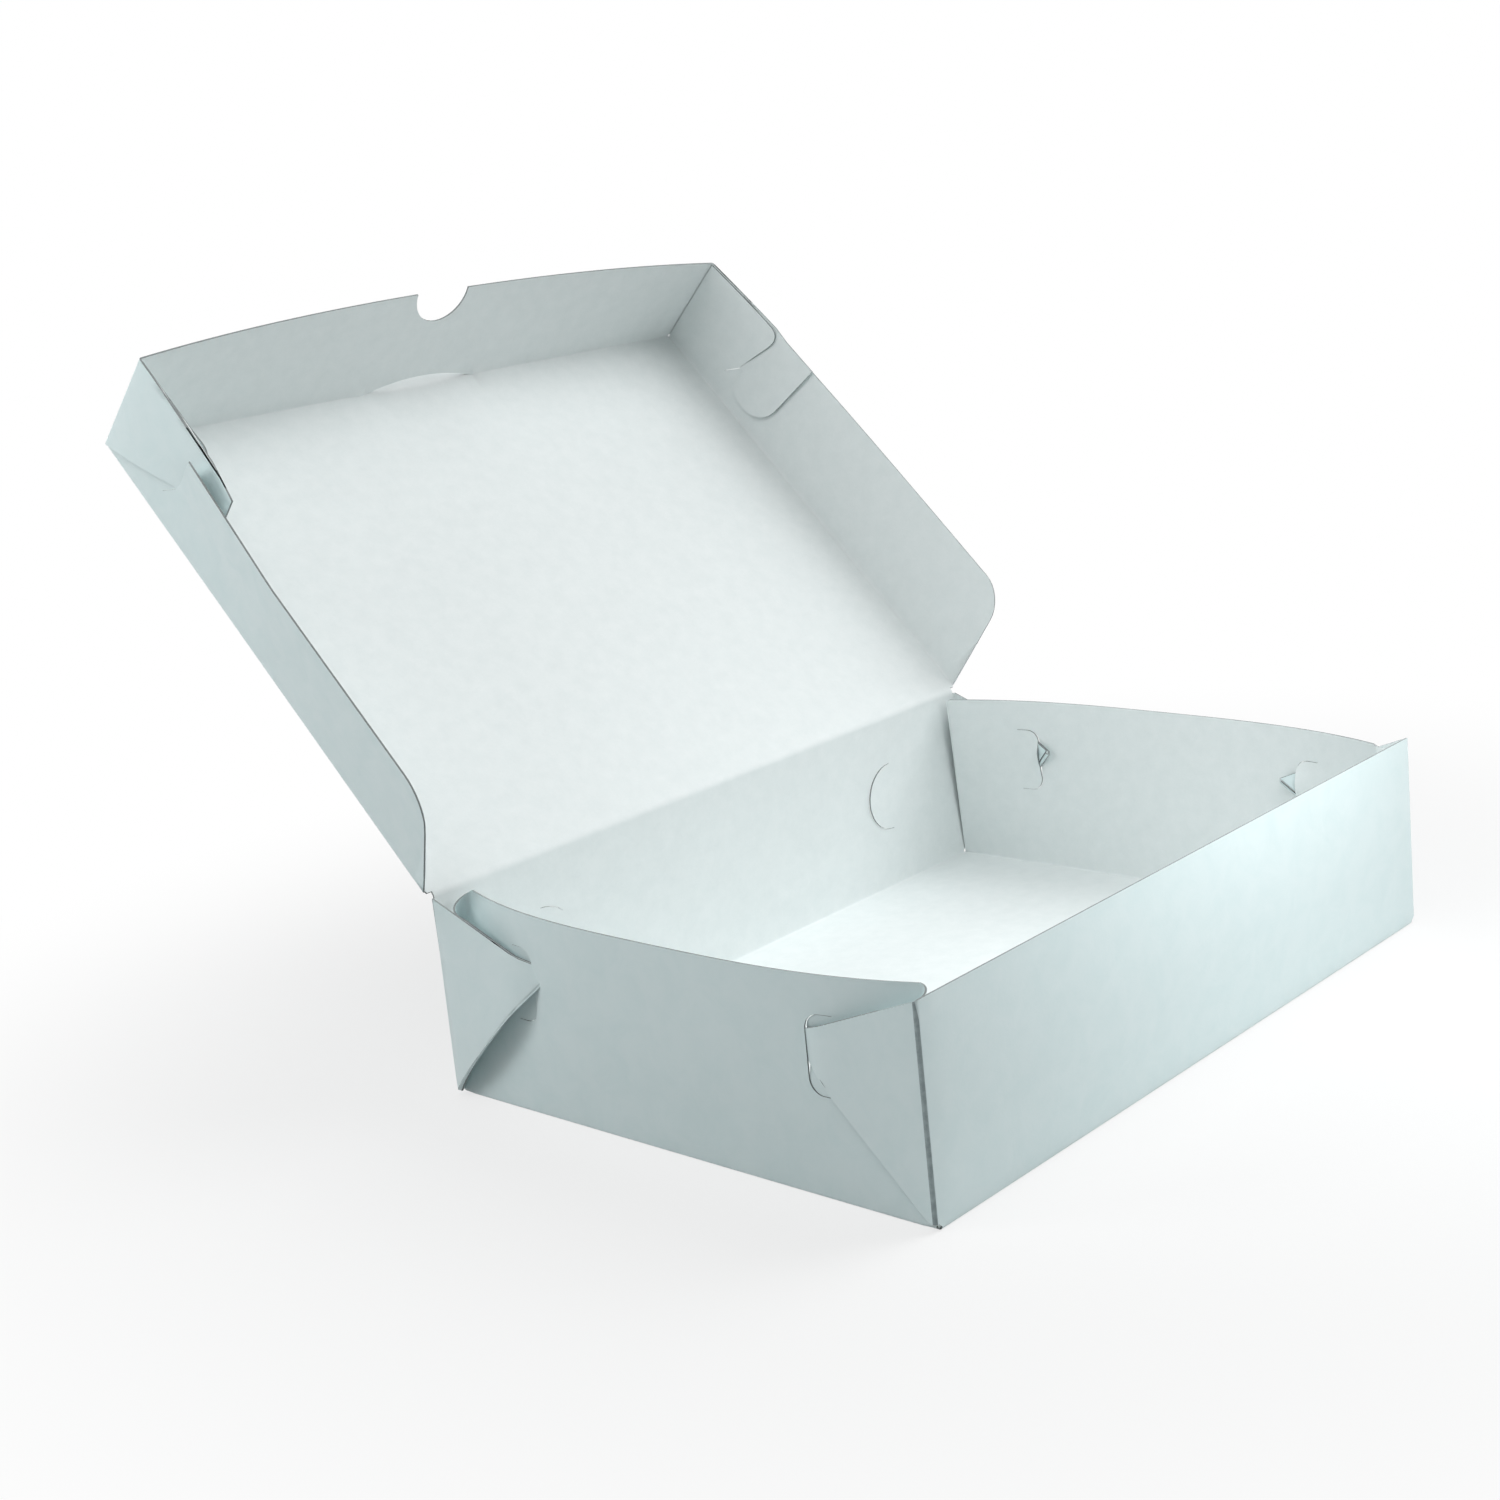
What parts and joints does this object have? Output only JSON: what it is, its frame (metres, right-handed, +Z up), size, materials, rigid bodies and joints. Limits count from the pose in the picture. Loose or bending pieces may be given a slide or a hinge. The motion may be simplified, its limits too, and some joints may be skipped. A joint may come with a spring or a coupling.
{
  "type": "self-erecting box",
  "caption": "Shallow white board carton that pops up from flat, with locked web corners and a hinged lid that closes over the tray, standing open.",
  "frame": {"origin": "centre of the underside of the tray's base, on the table", "axes": "+X along the lid's hinge, +Y from the front wall to the back wall, +Z up"},
  "size_m": [0.2416, 0.2745, 0.1996],
  "materials": {
    "board": "white-lined board, coated outside and matt inside"
  },
  "bodies": {
    "tray": {"tray": "board"},
    "lid": {"lid": "board"}
  },
  "joints": [
    {"name": "lid_hinge", "type": "hinge", "parent": "tray", "child": "lid", "pos_m": [0, 0.07975, 0.055], "axis": [1, 0, 0], "range_deg": [-46, 134]}
  ]
}
